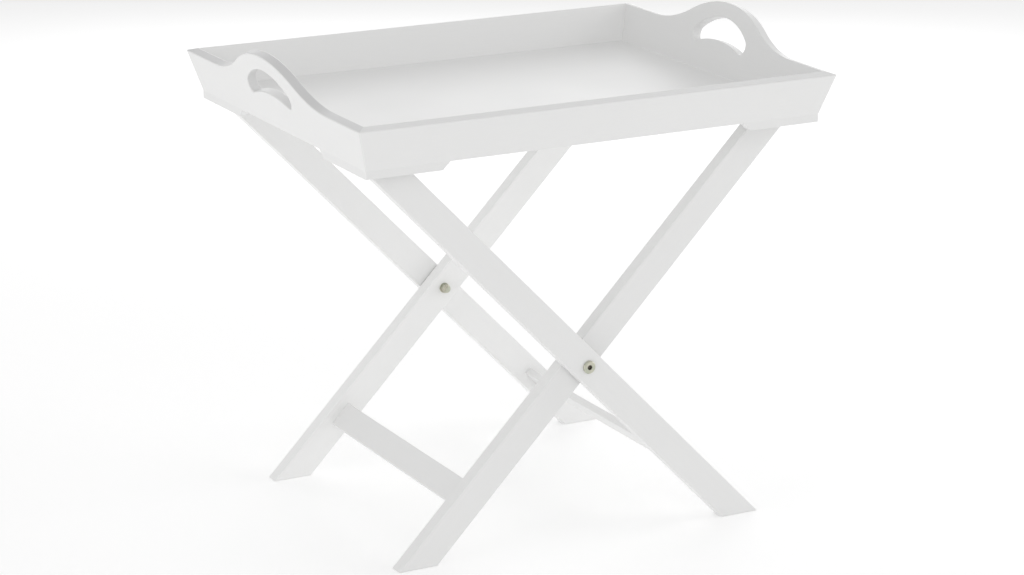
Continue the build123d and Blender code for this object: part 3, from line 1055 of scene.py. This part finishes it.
@dataclass
class Pivots:
    """Bolts, lock nuts and washers: surfaces turned about the bolt's axis.

    Attributes:
        head: Radius of the head.
        head_height: Height of the head.
        crown: Radius of the head's rounded edge.
        socket: Across the flats of the hex socket.
        socket_depth: Depth of the socket.
        shank: Radius of the shank.
        pitch: Pitch of the thread.
        thread_depth: Depth of the thread.
        thread_length: Length of the thread, from the tip.
        tip: Radius of the bolt's tip, as a share of the thread's radius.
        tip_taper: Length in which the tip's taper would gain a whole radius.
        chamfer: Small chamfer round the head and the socket's mouth.
        nut: Across the flats of the nut.
        nut_height: Height of the nut's hexagon.
        collar: Radius of the nut's collar.
        collar_round: Radius of the collar's rounded edge.
        sides: Steps in one turn.
        socket_shade_share: How far the inside of a socket is darkened as painted shade, 0 to 1.
        washer_bore: Radius of the washers' holes.
        washer_thickness: Thickness of each kind of washer.
        body: Body that the fittings ride on.
    """

    head: float = 7.5 * MM
    head_height: float = 2.6 * MM
    crown: float = 1.4 * MM
    socket: float = 5.0 * MM
    socket_depth: float = 1.9 * MM
    shank: float = 3.0 * MM
    pitch: float = 1.0 * MM
    thread_depth: float = 0.6 * MM
    thread_length: float = 16.0 * MM
    tip: float = 0.76
    tip_taper: float = 2.5 * MM
    chamfer: float = 0.3 * MM
    nut: float = 10.0 * MM
    nut_height: float = 5.8 * MM
    collar: float = 4.4 * MM
    collar_round: float = 0.7 * MM
    sides: int = 96
    # Painted shade: how far a socket's inside is darkened.
    socket_shade_share: float = 0.95
    washer_bore: float = 3.2 * MM
    washer_thickness: dict[str, float] = field(
        default_factory=lambda: {"spacer_washers": 1.3 * MM, "nut_washers": 1.2 * MM}
    )
    body: str = "pivots"

    def angles(self) -> np.ndarray:
        """Angles of the points in one turn."""
        return np.linspace(0, 2 * pi, self.sides, endpoint=False)

    def hexagon(self, across: float) -> np.ndarray:
        """Radius of a hexagon at each angle: half its width over the cosine to the nearest flat."""
        return across / 2 / np.cos(np.mod(self.angles(), pi / 3) - pi / 6)

    def turned(
        self, radius: np.ndarray, reach: np.ndarray, centre: np.ndarray, side: float, capped: bool
    ) -> Surface:
        """Surface turned about a line along Y.

        Args:
            radius: Radius at each station and angle.
            reach: Distance of each station from the centre, outwards along the bolt.
            centre: Point that the reach is measured from.
            side: -1 for the front of the table, 1 for its back.
            capped: Whether the end stations are filled.

        Returns:
            The surface.
        """
        angle = self.angles()
        radius = np.broadcast_to(radius, (len(reach), self.sides))
        away = np.repeat(reach[:, None], self.sides, 1)
        local = np.stack([radius * np.cos(angle), side * away, radius * np.sin(angle)], axis=-1)
        return Surface(local + centre, local, np.zeros(away.shape), True, capped)

    def bolts(self, plate: Material) -> None:
        """Bolts: domed head with a hex socket, plain shank, and a helical thread to the tip.

        Args:
            plate: Their finish.
        """
        for name, side in FRONT_BACK:
            node = f"pivot_bolt_{name}"
            bottom, top = low(node), high(node)
            tip, face = (top[1], bottom[1]) if side < 0 else (bottom[1], top[1])
            seat = abs(face) - self.head_height
            length = seat - abs(tip)
            steps = np.arange(0, self.thread_length, self.pitch / 10)
            turns = steps[:, None] / self.pitch + side * self.angles()[None] / (2 * pi)
            wave = np.abs(2 * np.mod(turns, 1) - 1)
            runout = np.clip((self.thread_length - steps) / self.pitch, 0, 1)[:, None]
            lead = np.minimum(1.0, self.tip + steps / self.tip_taper)[:, None]
            thread = (self.shank - self.thread_depth * wave * runout) * lead
            turn = np.linspace(0, pi / 2, 7)
            rim = self.head - self.crown * (1 - np.cos(turn))
            rim_reach = length + self.head_height - self.crown * (1 - np.sin(turn))
            flat = length + self.head_height
            hexagon = self.hexagon(self.socket)
            mouth = self.socket / 2 / cos(pi / 6) + 0.25 * MM
            ease, floor = self.chamfer, flat - self.socket_depth
            socket = [
                (hexagon, flat - 0.35 * MM),
                (hexagon * 0.99, flat - 0.5 * MM),
                (hexagon * 0.98, floor),
                (hexagon * 0.1, floor),
            ]
            rings = [
                (self.shank, length - ease),
                (self.shank + ease, length),
                (self.head - ease, length),
                (self.head, length + ease),
                *zip(rim, rim_reach),
                (mouth + ease, flat),
                (mouth, flat),
                *socket,
            ]
            radius = np.concatenate([thread, [np.broadcast_to(r, self.sides) for r, _ in rings]])
            reach = np.concatenate([steps, [h for _, h in rings]])
            centre = np.array([0.0, tip, (bottom[2] + top[2]) / 2])
            bolt = self.turned(radius, reach, centre, side, True)
            # Painted shade: the socket's stations are darkened near black.
            bolt.painted_shade = np.zeros_like(bolt.arris)
            bolt.painted_shade[-len(socket) :] = self.socket_shade_share
            piece = make_piece(f"plated_bolt_{name}", [bolt])
            settle(piece, node, self.body, plate)

    def nuts(self, plate: Material) -> None:
        """Lock nuts: a hexagon whose corners are turned off at both ends, and a rounded collar.

        Args:
            plate: Their finish.
        """
        for name, side in FRONT_BACK:
            node = f"pivot_nut_{name}"
            bottom, top = low(node), high(node)
            outer, inner = (bottom[1], top[1]) if side < 0 else (top[1], bottom[1])
            height = abs(outer) - abs(inner)
            hexagon, cone = self.hexagon(self.nut), tan(radians(60))
            face = self.nut / 2 - 0.15 * MM
            tall = self.nut_height / MM
            near, far = np.linspace(0, 0.5, 4), tall - np.linspace(0.5, 0, 4)
            up = np.concatenate([near, np.linspace(0.8, tall - 0.8, 5), far]) * MM
            edge = np.minimum(up, self.nut_height - up)[:, None]
            body = np.minimum(hexagon[None], face + edge * cone)
            turn = np.linspace(0, pi / 2, 6)
            collar = self.collar - self.collar_round * (1 - np.cos(turn))
            collar_up = height - self.collar_round * (1 - np.sin(turn))
            root, mouth = 0.15 * MM, 0.2 * MM
            rings = [
                (self.collar + root, self.nut_height),
                (self.collar, self.nut_height + root),
                *zip(collar, collar_up),
                (self.shank + mouth, height),
                (self.shank, height - mouth),
                (self.shank, mouth),
                (self.shank + mouth, 0.0),
                (face, 0.0),
            ]
            radius = np.concatenate([body, [np.full(self.sides, r) for r, _ in rings]])
            reach = np.concatenate([up, [h for _, h in rings]])
            centre = np.array([0.0, outer, (bottom[2] + top[2]) / 2])
            piece = make_piece(f"plated_nut_{name}", [self.turned(radius, reach, centre, -side, False)])
            settle(piece, node, self.body, plate)

    def washers(self, plate: Material) -> None:
        """Washers: flat rings with stamped, slightly rounded edges, one on each bolt.

        Args:
            plate: Their finish.
        """
        bore = self.washer_bore
        for node in ("spacer_washers", "nut_washers"):
            bottom, top = low(node), high(node)
            outer = (top[2] - bottom[2]) / 2
            thick = self.washer_thickness[node]
            loop, _ = Arris(0.25 * MM, 3, 0.05 * MM).section(outer - bore, thick)
            loop = np.concatenate([loop, loop[:1]])
            rings = []
            for side in (-1.0, 1.0):
                centre = np.array([0.0, side * top[1], (bottom[2] + top[2]) / 2])
                radius = np.repeat(bore + loop[:, :1], self.sides, 1)
                rings.append(self.turned(radius, loop[:, 1], centre, -side, False))
            settle(make_piece(f"plated_{node}", rings), node, self.body, plate)


# --- Studio ----------------------------------------------------------------------------------


@dataclass(frozen=True)
class Lamp:
    """A square soft light.

    Attributes:
        name: Name of the light.
        place: Where it hangs.
        size: Length of a side.
        power: Power in watts.
    """

    name: str
    place: Triple
    size: float
    power: float


@dataclass(frozen=True)
class Studio:
    """Pale floor, soft light and the camera.

    Attributes:
        azimuth: Turn of the view about the vertical, from looking along +Y.
        elevation: Height of the view above level.
        roll: Tilt of the camera about its own axis.
        distance: From the camera to the point that it looks at.
        target: Point that it looks at.
        lens: Focal length for a sensor 36 mm wide.
        shift: Shift of the lens, as a share of the sensor's width.
        lit: Point that the lamps are turned to.
        floor: Half length of the floor's side.
        ground: Colour of the floor.
        dome: Strength of the even light from all round.
        glow: Light that the sweep under the table gives off.
        lamps: The soft lights; the two at the back are what the tray's floor mirrors.
    """

    azimuth: float = radians(28.86)
    elevation: float = radians(15.35)
    roll: float = radians(0.28)
    distance: float = 3.6603
    target: Triple = (0.0374, 0.0, 0.3241)
    lens: float = 109.8
    shift: tuple[float, float] = (-0.0218, -0.0606)
    lit: Triple = (0.0, 0.0, 0.35)
    floor: float = 30.0
    ground: Triple = (0.93, 0.93, 0.93)
    dome: float = 0.66
    glow: float = 0.18
    lamps: tuple[Lamp, ...] = (
        Lamp("right", (3.0, -0.8, 1.2), 2.0, 22.0),
        Lamp("left", (-3.2, -0.6, 1.0), 2.0, 16.5),
        Lamp("top", (0.0, 0.0, 5.0), 2.0, 4.0),
        Lamp("front", (-0.8, -3.4, 2.2), 2.0, 9.2),
        Lamp("backdrop_low", (1.16, 2.11, 1.35), 1.9, 10.4),
        Lamp("backdrop_high", (1.4, 2.55, 1.7), 2.9, 3.4),
    )

    def camera(self) -> None:
        """Make the camera and set it as the scene's."""
        turn, tilt = self.azimuth, self.elevation
        ahead = Vector((sin(turn) * cos(tilt), cos(turn) * cos(tilt), -sin(tilt)))
        level = Vector((cos(turn), -sin(turn), 0.0))
        above = level.cross(ahead)
        right = level * cos(self.roll) + above * sin(self.roll)
        top = above * cos(self.roll) - level * sin(self.roll)
        data = bpy.data.cameras.new("camera")
        data.lens, data.sensor_width = self.lens, 36.0
        data.shift_x, data.shift_y = self.shift
        data.clip_end = 60.0
        camera = bpy.data.objects.new("camera", data)
        place = Matrix((right, top, -ahead)).transposed().to_4x4()
        place.translation = Vector(self.target) - ahead * self.distance
        camera.matrix_world = place
        bpy.context.scene.collection.objects.link(camera)
        bpy.context.scene.camera = camera

    def light(self, lamp: Lamp) -> None:
        """Hang one lamp, turned to the middle of the table.

        Args:
            lamp: The lamp to hang.
        """
        data = bpy.data.lights.new(lamp.name, "AREA")
        data.shape, data.size, data.energy = "SQUARE", lamp.size, lamp.power
        hung = bpy.data.objects.new(lamp.name, data)
        hung.location = lamp.place
        down = Vector(self.lit) - Vector(lamp.place)
        hung.rotation_euler = down.to_track_quat("-Z", "Y").to_euler()
        bpy.context.scene.collection.objects.link(hung)

    def build(self) -> None:
        """Floor, world light, soft lights and camera."""
        mesh = bpy.data.meshes.new("floor")
        corners = [(x * self.floor, y * self.floor, 0) for x, y in ((-1, -1), (1, -1), (1, 1), (-1, 1))]
        mesh.from_pydata(corners, [], [(0, 1, 2, 3)])
        floor = bpy.data.objects.new("floor", mesh)
        bpy.context.scene.collection.objects.link(floor)
        pale = Shader("pale_floor")
        pale.surface.inputs["Base Color"].default_value = (*self.ground, 1.0)
        pale.surface.inputs["Roughness"].default_value = 0.9
        pale.surface.inputs["Specular IOR Level"].default_value = 0.1
        pale.surface.inputs["Emission Color"].default_value = (1.0, 1.0, 1.0, 1.0)
        pale.surface.inputs["Emission Strength"].default_value = self.glow
        dress(floor, pale.material)
        world = bpy.data.worlds.new("studio")
        world.use_nodes = True
        world.node_tree.nodes["Background"].inputs["Color"].default_value = (1.0, 1.0, 1.0, 1.0)
        world.node_tree.nodes["Background"].inputs["Strength"].default_value = self.dome
        bpy.context.scene.world = world
        for lamp in self.lamps:
            self.light(lamp)
        bpy.context.scene.view_settings.view_transform = "Standard"
        self.camera()


def main() -> None:
    """Build the table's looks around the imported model."""
    logging.basicConfig(level=logging.INFO, format="%(name)s %(message)s")
    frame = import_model()
    tray_paint = SatinPaint("tray_paint").make()
    stand_paint = SatinPaint("stand_paint", gloss=0.4).make()
    # Lighter copies of the paints for the back board and back legs: painted light, as those faces catch
    # more light.
    lit_white, thin = (0.89, 0.89, 0.885), (0.86, 0.86, 0.855)
    lit_tray_paint = SatinPaint("lit_tray_paint", white=lit_white, shade=thin).make()
    lit_stand_paint = SatinPaint("lit_stand_paint", white=lit_white, shade=thin, gloss=0.4).make()
    panel_paint = SatinPaint("panel_paint", gloss=0.34, relief=0.01 * MM, stretch=(4.0, 60.0, 60.0)).make()
    zinc = YellowZinc().make()
    beech = PlainStock("bare_beech", (0.66, 0.47, 0.29), (0.52, 0.34, 0.19), False).make()
    steel = PlainStock("bright_steel", (0.62, 0.62, 0.62), (0.45, 0.45, 0.46), True).make()

    tray = Tray(TrayMeasures.read())
    tray.panel(panel_paint)
    tray.long_boards({"front": tray_paint, "back": lit_tray_paint})
    tray.handle_boards(tray_paint)
    tray.feet(tray_paint)
    for name, lean in (("outer", -1.0), ("inner", 1.0)):
        stand = StandFrame(name, lean)
        stand.legs({"front": stand_paint, "back": lit_stand_paint})
        stand.slats(stand_paint)

    pivots = Pivots()
    pivots.bolts(zinc)
    pivots.nuts(zinc)
    pivots.washers(zinc)
    for node, piece in frame["nodes"].items():
        if node.endswith("dowels"):
            dress(piece, beech)
        elif node.endswith("brads"):
            dress(piece, steel)
    Studio().build()


if __name__ == "__main__":
    main()
